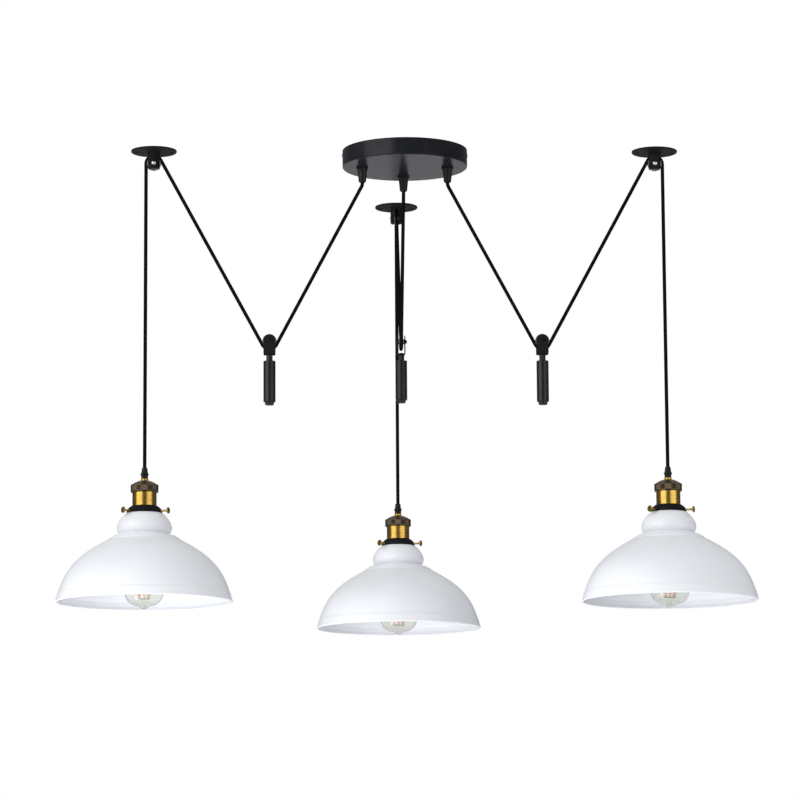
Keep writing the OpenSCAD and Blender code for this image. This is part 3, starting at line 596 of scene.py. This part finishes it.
class BuildWeights(bpy.types.Operator):
    """Counterweights: yokes, axles, wheels and turned bars"""

    bl_idname = "pendant.build_weights"
    bl_label = "Counterweights"

    def execute(self, context):
        width = sizes().edge_width
        for lamp in LAMPS:
            yoke = "yoke_" + lamp
            dressed("bent_yoke_" + lamp, "weight_yoke_" + lamp, "black_metal", yoke, width)
            dressed("yoke_axle_" + lamp, "weight_axle_" + lamp, "black_metal", yoke, 0.0)
            dressed("yoke_wheel_" + lamp, "weight_wheel_" + lamp, "dark_steel",
                    "yoke_wheel_" + lamp, width)
            self.bar(lamp)
        return {"FINISHED"}

    def bar(self, lamp):
        """Swivel head, neck, stem and bar in one turned piece."""
        node = "weight_" + lamp
        low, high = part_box(node)
        place = (low + high) / 2
        place.z = high.z
        yoke_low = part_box("weight_yoke_" + lamp)[0].z - high.z
        foot = low.z - high.z
        radius = radius_of(node)
        neck, head, stem, button = 0.003, 0.0042, 0.00525, 0.0074
        stem_top = yoke_low - 0.0003
        bar_top = stem_top - 0.0098
        head_low = yoke_low + 0.0018
        outline = rounded([
            (0.0, foot), (button, foot, 0.0034), (button, foot + 0.0050, 0.0006),
            (radius, foot + 0.0052, 0.0022), (radius, bar_top, 0.0007),
            (stem, bar_top, 0.0003), (stem, stem_top, 0.0003), (neck, stem_top),
            (neck, head_low), (head, head_low, 0.0002), (head, -0.0009, 0.0010), (0.0, 0.0)])
        piece("turned_weight_" + lamp, spun(outline, place, 72), "weight_paint", node, [node])


# ---- Cords ----

class Stretch:
    """A straight or bent part of a cord, in the upright plane of its lamp."""

    def __init__(self, lamp, start, way, travel, centre=None, turn=0.0):
        self.lamp, self.start, self.way = lamp, start, way
        self.travel, self.centre, self.turn = travel, centre, turn

    def world(self, point):
        """A point of the plane in the frame's axes."""
        return OUTWARD[self.lamp] * point.x + UP * point.y

    def end(self):
        """Where the stretch ends."""
        if self.centre is None:
            return self.start + self.way * self.travel
        return self.centre + Matrix.Rotation(self.turn, 2) @ (self.start - self.centre)


class BuildCords(bpy.types.Operator):
    """Braided cords along their whole route: grip, loop with the weight, ceiling wheel and lamp"""

    bl_idname = "pendant.build_cords"
    bl_label = "Cords"

    ring_gap = 0.004
    ring_turn = math.radians(5)
    sides = 16

    def execute(self, context):
        for lamp in LAMPS:
            self.cord(lamp)
        return {"FINISHED"}

    def plane(self, node, lamp):
        """The middle of a node as distance outwards and height."""
        place = middle_of(node)
        return Vector((place.dot(OUTWARD[lamp]), place.z))

    def cord(self, lamp):
        """Works out the route from the wheels' places and sweeps each stretch."""
        size = sizes()
        bend = size.bend_radius
        weight = self.plane("weight_wheel_" + lamp, lamp)
        wheel = self.plane("ceiling_wheel_" + lamp, lamp)
        low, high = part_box("flex_" + lamp)
        mouth = Vector((size.outlet_reach + bend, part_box("canopy_grips")[0].z - 0.001))
        inner = weight - mouth
        tilt_in = math.atan2(inner.x, -inner.y)
        outer = wheel - weight
        tilt_out = math.atan2(outer.x, outer.y) - math.asin(2 * bend / outer.length)
        down = Vector((0, -1))
        way_in = Vector((math.sin(tilt_in), -math.cos(tilt_in)))
        way_out = Vector((math.sin(tilt_out), math.cos(tilt_out)))
        left_of = Matrix.Rotation(math.pi / 2, 2)
        inlet = Vector((size.outlet_reach, high.z))
        touch_mouth = mouth - Vector((bend, 0))
        touch_weight = weight - left_of @ way_in * bend
        leave_weight = weight - left_of @ way_out * bend
        touch_wheel = wheel + left_of @ way_out * bend
        self.run = 0.0
        root, yoke, body = "root", "yoke_" + lamp, "lamp_" + lamp
        first = self.sweep(f"cord_{lamp}_inlet", Stretch(
            lamp, inlet, down, (inlet - touch_mouth).length), root)
        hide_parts("flex_" + lamp)
        at_mouth = Stretch(lamp, touch_mouth, down, bend * tilt_in, mouth, tilt_in)
        self.sweep(f"cord_{lamp}_mouth_bend", at_mouth, root)
        self.leg(f"cord_{lamp}_inner_leg", lamp, at_mouth.end(), touch_weight, (root, yoke), False)
        wrap = math.pi - tilt_in - tilt_out
        self.sweep(f"cord_{lamp}_weight_bend", Stretch(
            lamp, touch_weight, way_in, bend * wrap, weight, wrap), yoke)
        self.leg(f"cord_{lamp}_outer_leg", lamp, leave_weight, touch_wheel, (root, yoke), True)
        over = math.pi - tilt_out
        at_wheel = Stretch(lamp, touch_wheel, way_out, bend * over, wheel, -over)
        self.sweep(f"cord_{lamp}_ceiling_bend", at_wheel, root)
        top = at_wheel.end()
        drop = Stretch(lamp, top, down, top.y - low.z)
        hanging = self.sweep(f"cord_{lamp}_drop", drop, None)
        grip = Vector((top.x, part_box("lamp_grip_" + lamp)[1].z))
        drop.world(top)
        drop.world(grip)
        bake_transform(hanging)

    def leg(self, name, lamp, start, end, bodies, falling):
        """A slanting leg in parts.

        bodies is not used. The parts are shorter towards the leg's ends.
        """
        parts = sizes().leg_parts
        marks = [(k / parts) ** 2 * (3 - 2 * k / parts) for k in range(parts + 1)]
        for k, (a, b) in enumerate(zip(marks, marks[1:])):
            first, last = start.lerp(end, a), start.lerp(end, b)
            stretch = Stretch(lamp, first, (last - first).normalized(), (last - first).length)
            made = self.sweep(f"{name}_{k + 1}", stretch, None)
            step = last - first
            zero, one = first - step * k, first + step * (parts - k)
            if falling:
                zero, one = one, zero
            stretch.world(zero)
            stretch.world(one)
            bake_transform(made)

    def sweep(self, name, stretch, body):
        """Sweeps the cord's circle along a stretch and gives it its weave coordinates."""
        radius = sizes().cord_radius
        outside = OUTWARD[stretch.lamp].cross(UP)
        way = stretch.world(stretch.way)
        side = stretch.world(Matrix.Rotation(math.pi / 2, 2) @ stretch.way)
        turn = Matrix((side, outside, way)).transposed().to_4x4()
        bm = bmesh.new()
        matrix = Matrix.Translation(stretch.world(stretch.start)) @ turn
        made = bmesh.ops.create_circle(bm, cap_ends=False, segments=self.sides, radius=radius,
                                       matrix=matrix)
        geom = made["verts"] + bm.edges[:]
        if stretch.centre is None:
            steps = max(1, round(stretch.travel / self.ring_gap))
            bmesh.ops.spin(bm, geom=geom, cent=(0, 0, 0), axis=outside, angle=0.0, steps=steps,
                           dvec=way * (stretch.travel / steps), use_merge=False,
                           use_duplicate=False)
        else:
            steps = max(4, round(abs(stretch.turn) / self.ring_turn))
            bmesh.ops.spin(bm, geom=geom, cent=stretch.world(stretch.centre), axis=outside,
                           angle=stretch.turn, steps=steps, dvec=(0, 0, 0), use_merge=False,
                           use_duplicate=False)
        open_edges = [e for e in bm.edges if e.is_boundary]
        ends = bmesh.ops.holes_fill(bm, edges=open_edges, sides=0)["faces"]
        bmesh.ops.recalc_face_normals(bm, faces=bm.faces)
        self.weave(bm, stretch, ends)
        obj = piece(name, bm, "cord", body)
        obj.modifiers.clear()
        self.run += stretch.travel
        return obj

    def weave(self, bm, stretch, ends):
        """Gives each corner its turn round the cord and its distance along it."""
        layer = bm.loops.layers.uv.new("weave")
        outside = OUTWARD[stretch.lamp].cross(UP)
        left_of = Matrix.Rotation(math.pi / 2, 2)
        for face in bm.faces:
            if face in ends:
                continue
            turns = []
            for loop in face.loops:
                place = loop.vert.co
                flat = Vector((place.dot(OUTWARD[stretch.lamp]), place.z))
                if stretch.centre is None:
                    along = (flat - stretch.start).dot(stretch.way)
                    offset = (flat - stretch.start).dot(left_of @ stretch.way)
                else:
                    arm, begin = flat - stretch.centre, stretch.start - stretch.centre
                    angle = begin.angle_signed(arm, 0.0)
                    sign = math.copysign(1.0, stretch.turn)
                    along = abs(angle) * begin.length
                    offset = sign * (begin.length - arm.length)
                turns.append((math.atan2(place.dot(outside), offset) / FULL_TURN, along))
            high = max(turn for turn, _ in turns)
            for loop, (turn, along) in zip(face.loops, turns):
                loop[layer].uv = (turn + (1.0 if high - turn > 0.5 else 0.0), self.run + along)


# ---- Lamps ----

class BuildShades(bpy.types.Operator):
    """White spun shades with rolled rim, pressed line, steps and crown"""

    bl_idname = "pendant.build_shades"
    bl_label = "Shades"

    turns = 128

    def execute(self, context):
        for lamp in LAMPS:
            self.shade(lamp)
        return {"FINISHED"}

    def shade(self, lamp):
        """One closed wall: the outside up to the neck and the inside back to the rim."""
        size = sizes()
        rim = radius_of("shade_" + lamp)
        top = heights("shade", lamp)[1]
        neck = 0.0255
        bell = cubic((rim, 0.0), (0.91 * rim, 0.052), (2 * size.bell_radius, 0.074),
                     (size.bell_radius, size.bell_height), 56, 0.02)
        crown = cubic((size.waist_radius, size.waist_height),
                      (size.waist_radius + 0.006, size.waist_height + 0.005),
                      (size.waist_radius + 0.0055, size.waist_height + 0.020),
                      (size.crown_radius, size.crown_height - 0.0012), 28)
        outside = [self.pressed(p) for p in bell[:-1]] + self.steps(bell[-1], crown[0]) + crown
        neck_line = rounded([crown[-1], (size.crown_radius - 0.0012, size.crown_height, 0.0008),
                             (neck, size.crown_height, 0.0008), (neck, top)])[1:]
        wall = inset(outside + neck_line, -size.sheet)
        bead = [Vector((rim - size.rim_bead, size.rim_bead)) + size.rim_bead
                * Vector((math.cos(a), math.sin(a)))
                for a in (math.radians(170 + 202 * k / 16) for k in range(17))]
        clear = [p for p in outside if p.y > 0.0085]
        outline = bead + clear + neck_line + [p for p in reversed(wall) if p.y > 0.004]
        place = axis_of(lamp)
        piece("bell_shade_" + lamp, spun(outline, place, self.turns), "white_enamel",
              "lamp_" + lamp, ["shade_" + lamp], sharp=50.0)

    def pressed(self, point):
        """Swells the sheet a little at the pressed line above the rim."""
        size = sizes()
        away = (point.y - size.line_height) / 0.0013
        return point + Vector((0.0009 * math.exp(-away * away), 0.0))

    def steps(self, start, end):
        """Two soft steps between the bell and the waist."""
        size = sizes()
        ledge = end + Vector((0.002, -0.0016))
        foot = start.lerp(ledge, 0.05)
        found = []
        for near, far in ((foot + Vector((0.0022, -0.0018)), start.lerp(ledge, 0.34)),
                          (start.lerp(ledge, 0.34), start.lerp(ledge, 0.62))):
            half = (far - near) / 2
            out = Vector((half.y, -half.x)).normalized() * size.step_rise
            found += [near + half * (1 - math.cos(a)) + out * math.sin(a)
                      for a in (math.pi * k / 8 for k in range(9))]
        return found + [ledge]


class BuildSockets(bpy.types.Operator):
    """Brass socket shells, bronze collars and caps, holders, thumb screws and cord grips"""

    bl_idname = "pendant.build_sockets"
    bl_label = "Sockets"

    def execute(self, context):
        width = sizes().edge_width
        for lamp in LAMPS:
            body = "lamp_" + lamp
            self.grip(lamp, body)
            self.cap(lamp, body)
            self.shell(lamp, body)
            for name, node, slot in (("knurled_collar", "socket_collar", "bronze"),
                                     ("ceramic_insert", "lamp_insert", "ceramic"),
                                     ("holder_ring", "shade_holder", "black_metal"),
                                     ("thumb_screws", "holder_screws", "brass")):
                dressed(f"{name}_{lamp}", f"{node}_{lamp}", slot, body, width)
        return {"FINISHED"}

    def grip(self, lamp, body):
        """The tapered grip above the cap, with a ring round its middle."""
        base, top = heights("lamp_grip", lamp)
        nipple = heights("socket_cap", lamp)[1]
        seat = nipple + FIT
        bore = sizes().cord_radius + 0.0003
        stub, ring = 0.004, 0.0069
        outline = rounded([
            (bore, base), (stub, base), (stub, seat), (0.0054, seat, 0.0003),
            (0.0059, nipple + 0.0055, 0.0006), (ring, nipple + 0.0067, 0.0005),
            (ring, nipple + 0.0083, 0.0005), (0.0055, nipple + 0.0094, 0.0005),
            (0.0045, top - 0.0010, 0.0010), (0.0038, top, 0.0004), (bore, top)])
        piece("lamp_cord_grip_" + lamp, spun(outline, axis_of(lamp), 56), "black_plastic", body,
              ["lamp_grip_" + lamp])

    def cap(self, lamp, body):
        """A shallow dome that ends in a nipple, turning to brass towards its middle."""
        seat, nipple_top = heights("socket_cap", lamp)
        collar_top = heights("socket_collar", lamp)[1]
        radius = radius_of("socket_cap_" + lamp)
        nipple, bore, wall = 0.006, 0.00405, 0.0012
        dome_top = nipple_top - 0.003
        stub_low = dome_top - 0.0032
        steps, short = 20, 0.09
        low, rise = nipple + 0.0004, dome_top - collar_top
        depth = (radius ** 2 - low ** 2 - rise ** 2) / (2 * rise)
        big = math.hypot(radius, depth)
        first, last = math.asin(depth / big), math.acos(low / big)
        centre = Vector((0, collar_top - depth))

        def arc(reach, start, end):
            """Points of an arc round the dome's centre."""
            turns = (start + (end - start) * k / steps for k in range(steps + 1))
            return [Vector((math.cos(a), math.sin(a))) * reach + centre for a in turns]

        foot = [Vector((radius - wall, seat + FIT)), Vector((radius, seat + FIT))]
        tube = rounded([(nipple, dome_top), (nipple, nipple_top, 0.0005),
                        (bore, nipple_top, 0.0003), (bore, stub_low), (nipple, stub_low)])
        outline = foot + arc(big, first, last) + tube + arc(big - wall, last - short, first)
        place = axis_of(lamp)
        obj = piece("domed_cap_" + lamp, spun(outline, place, 96), "bronze", body,
                    ["socket_cap_" + lamp])
        brass_share = obj.data.attributes.new("brass_share", "FLOAT", "POINT")
        for vert, value in zip(obj.data.vertices, brass_share.data):
            away = math.hypot(vert.co.x - place.x, vert.co.y - place.y)
            value.value = max(0.0, min(1.0, (radius * 0.95 - away) / (radius * 0.5)))

    def shell(self, lamp, body):
        """The brass tube with the bead that carries the shade's holder."""
        low, high = heights("socket_shell", lamp)
        holder_top = heights("shade_holder", lamp)[1]
        bead = radius_of("socket_shell_" + lamp)
        radius = bead - 0.0014
        wall = 0.0012
        outline = rounded([
            (radius - wall, low), (radius, low, 0.0004), (radius, holder_top - 0.0044, 0.0004),
            (bead, holder_top - 0.0036, 0.0005), (bead, holder_top - 0.0019, 0.0005),
            (radius, holder_top - 0.0015, 0.0003), (radius, high, 0.0003), (radius - wall, high)])
        piece("brass_shell_" + lamp, spun(outline, axis_of(lamp), 96), "brass", body,
              ["socket_shell_" + lamp])


class BuildBulbs(bpy.types.Operator):
    """Clear bulbs with drawn tips, screw bases, glass stems and copper strands"""

    bl_idname = "pendant.build_bulbs"
    bl_label = "Bulbs"

    def execute(self, context):
        for lamp in LAMPS:
            body = "lamp_" + lamp
            self.envelope(lamp, body)
            dressed("screw_base_" + lamp, "bulb_base_" + lamp, "bulb_cap", body, 0.0)
            self.cage(lamp, body)
        return {"FINISHED"}

    def envelope(self, lamp, body):
        """Outer and inner face of the blown glass."""
        tip, neck = heights("bulb_glass", lamp)
        radius = radius_of("bulb_glass_" + lamp)
        outside = self.glass_line(tip, radius, neck)
        wall = inset(outside, -sizes().glass)
        wall[0].x = 0.0
        outline = outside + list(reversed(wall))
        piece("bulb_envelope_" + lamp, spun(outline, axis_of(lamp), 96), "glass", body,
              ["bulb_glass_" + lamp], sharp=70.0)

    def glass_line(self, tip, radius, neck):
        """Tip button, wide belly and neck, from the axis upwards."""
        base = radius_of("bulb_base_left") - 0.0004
        button = cubic((0.0, tip), (0.0046, tip), (0.0068, tip + 0.0016), (0.0080, tip + 0.0040),
                       10)
        belly = cubic((0.0086, tip + 0.0044), (0.0215, tip + 0.0060), (radius, tip + 0.0130),
                      (radius, tip + 0.0330), 24)
        flank = cubic((radius, tip + 0.0340), (radius, tip + 0.0600), (0.0215, tip + 0.0720),
                      (0.0180, neck - 0.0210), 24)
        throat = cubic((0.0172, neck - 0.0190), (0.0150, neck - 0.0120),
                       (base + 0.001, neck - 0.008), (base, neck), 8)
        return button + belly + flank + throat

    def cage(self, lamp, body):
        """Glass stem, two stars of dark wire and the upright strands between them."""
        size = sizes()
        tip, neck = heights("bulb_glass", lamp)
        low, high = tip + 0.0165, tip + 0.0935
        strand_radius, wire_radius = 0.0006, 0.0004
        place = axis_of(lamp)
        stem = rounded([
            (0.0, low - 0.001), (0.0012, low - 0.001, 0.0008), (0.0012, high - 0.004, 0.002),
            (0.0026, high + 0.006, 0.002), (0.0026, neck - 0.010, 0.002),
            (0.0100, neck - 0.001, 0.001), (0.0100, neck + 0.0015), (0.0, neck + 0.0015)])
        piece("glass_stem_" + lamp, spun(stem, place, 40), "glass", body, ["bulb_filament_" + lamp])
        strands, wires = bmesh.new(), bmesh.new()
        for k in range(size.strands):
            way = Matrix.Rotation(FULL_TURN * k / size.strands, 3, "Z") @ Vector((1, 0, 0))
            foot = place + way * size.cage_radius
            self.rod(strands, foot + UP * low, foot + UP * high, strand_radius)
            for height in (low, high):
                self.rod(wires, place + UP * height, foot + UP * height, wire_radius)
        piece("copper_strands_" + lamp, strands, "filament", body)
        piece("strand_spiders_" + lamp, wires, "dark_steel", body)

    def rod(self, bm, start, end, radius):
        """A round rod between two points."""
        way = end - start
        turn = way.to_track_quat("Z", "Y").to_matrix().to_4x4()
        bmesh.ops.create_cone(bm, cap_ends=True, segments=12, radius1=radius, radius2=radius,
                              depth=way.length, matrix=Matrix.Translation((start + end) / 2) @ turn)


# ---- Stage ----

class BuildStage(bpy.types.Operator):
    """Camera, soft studio lights and a pale floor"""

    bl_idname = "pendant.build_stage"
    bl_label = "Stage"

    def execute(self, context):
        stage = context.scene.pendant_stage
        self.camera(context.scene, stage)
        self.world(context.scene, stage)
        context.scene.view_settings.view_transform = "Standard"
        made = [self.light(*values) for values in LIGHTS]
        made[-1].visible_glossy = False
        self.floor(stage)
        return {"FINISHED"}

    def camera(self, scene, stage):
        """A camera that looks up at the lamp from the front, a little from the left."""
        data = bpy.data.cameras.new("camera")
        data.sensor_width = SENSOR_WIDTH
        data.lens = stage.focal_pixels / IMAGE_WIDTH * data.sensor_width
        data.clip_end = 100.0
        obj = bpy.data.objects.new("camera", data)
        scene.collection.objects.link(obj)
        obj.location = stage.eye
        obj.rotation_mode = "QUATERNION"
        turn = (Matrix.Rotation(stage.yaw, 3, "Z")
                @ Matrix.Rotation(math.pi / 2 + stage.pitch, 3, "X")
                @ Matrix.Rotation(stage.roll, 3, "Z"))
        obj.rotation_quaternion = turn.to_quaternion()
        scene.camera = obj

    def world(self, scene, stage):
        """White behind the lamp, and light on it that changes with the direction's height."""
        world = bpy.data.worlds.new("studio")
        world.use_nodes = True
        nodes, links = world.node_tree.nodes, world.node_tree.links
        even = nodes["Background"]
        even.inputs["Strength"].default_value = stage.daylight
        way = nodes.new("ShaderNodeSeparateXYZ")
        links.new(nodes.new("ShaderNodeTexCoord").outputs["Generated"], way.inputs["Vector"])
        height = nodes.new("ShaderNodeMapRange")
        height.inputs["From Min"].default_value = -1.0
        links.new(way.outputs["Z"], height.inputs["Value"])
        bands = nodes.new("ShaderNodeValToRGB")
        links.new(height.outputs["Result"], bands.inputs["Fac"])
        links.new(bands.outputs["Color"], even.inputs["Color"])
        marks = bands.color_ramp.elements
        for place, value in SKY:
            mark = marks[0] if place == 0.0 else marks[-1] if place == 1.0 else marks.new(place)
            mark.color = (*(tint * value for tint in SKY_TINT), 1.0)
        backdrop = nodes.new("ShaderNodeBackground")
        backdrop.inputs["Color"].default_value = (1.0, 1.0, 1.0, 1.0)
        backdrop.inputs["Strength"].default_value = 1.0
        seen = nodes.new("ShaderNodeLightPath").outputs["Is Camera Ray"]
        mix = nodes.new("ShaderNodeMixShader")
        links.new(seen, mix.inputs["Fac"])
        links.new(even.outputs["Background"], mix.inputs[1])
        links.new(backdrop.outputs["Background"], mix.inputs[2])
        links.new(mix.outputs["Shader"], nodes["World Output"].inputs["Surface"])
        scene.world = world

    def light(self, name, place, size, power):
        """A soft light of a width and height, turned to the lamp."""
        data = bpy.data.lights.new(name, "AREA")
        data.shape = "RECTANGLE"
        data.size, data.size_y = size
        data.energy = power
        obj = bpy.data.objects.new(name, data)
        bpy.context.scene.collection.objects.link(obj)
        obj.location = place
        obj.rotation_mode = "QUATERNION"
        obj.rotation_quaternion = (LIGHTS_AIM - Vector(place)).to_track_quat("-Z", "Y")
        return obj

    def floor(self, stage):
        """A pale floor that shows from above only."""
        bm = bmesh.new()
        bmesh.ops.create_grid(bm, x_segments=1, y_segments=1, size=FLOOR_REACH)
        bmesh.ops.translate(bm, verts=bm.verts, vec=(0, 0, -stage.floor_depth))
        mesh = bpy.data.meshes.new("floor")
        bm.to_mesh(mesh)
        bm.free()
        obj = bpy.data.objects.new("floor", mesh)
        bpy.context.scene.collection.objects.link(obj)
        finish = Finish("pale floor", Base_Color=(0.93, 0.93, 0.94, 1.0), Roughness=0.8)
        below = finish.node("ShaderNodeNewGeometry").outputs["Backfacing"]
        clear = finish.node("ShaderNodeBsdfTransparent").outputs["BSDF"]
        mix = finish.node("ShaderNodeMixShader",
                          {0: below, 1: finish.shader.outputs["BSDF"], 2: clear})
        finish.links.new(mix.outputs["Shader"], finish.nodes["Material Output"].inputs["Surface"])
        mesh.materials.append(finish.material)


# ---- Add-on ----

BUILDERS = (BuildStage, BuildCords, BuildCanopy, BuildPulleys, BuildWeights, BuildShades,
            BuildSockets, BuildBulbs)


class PendantPanel(bpy.types.Panel):
    """Lists the pendant's sizes, colours and builders"""

    bl_idname = "VIEW3D_PT_pendant"
    bl_label = "Rise and fall pendant"
    bl_space_type = "VIEW_3D"
    bl_region_type = "UI"
    bl_category = "Pendant"

    def draw(self, context):
        scene = context.scene
        for builder in BUILDERS:
            self.layout.operator(builder.bl_idname)
        for group in (scene.pendant_sizes, scene.pendant_colours, scene.pendant_stage):
            box = self.layout.box()
            for name in group.bl_rna.properties.keys():
                if name not in ("rna_type", "name"):
                    box.prop(group, name)


GROUPS = {"pendant_sizes": PendantSizes, "pendant_colours": PendantColours,
          "pendant_stage": PendantStage}


def register():
    """Registers the groups, the builders and the panel."""
    for name, group in GROUPS.items():
        bpy.utils.register_class(group)
        setattr(bpy.types.Scene, name, PointerProperty(type=group))
    for builder in (*BUILDERS, PendantPanel):
        bpy.utils.register_class(builder)


def unregister():
    """Removes what register added."""
    for builder in (PendantPanel, *BUILDERS):
        bpy.utils.unregister_class(builder)
    for name, group in GROUPS.items():
        delattr(bpy.types.Scene, name)
        bpy.utils.unregister_class(group)


def main():
    """Builds the whole pendant."""
    register()
    for builder in BUILDERS:
        group, name = builder.bl_idname.split(".")
        getattr(getattr(bpy.ops, group), name)()


if __name__ == "__main__":
    main()
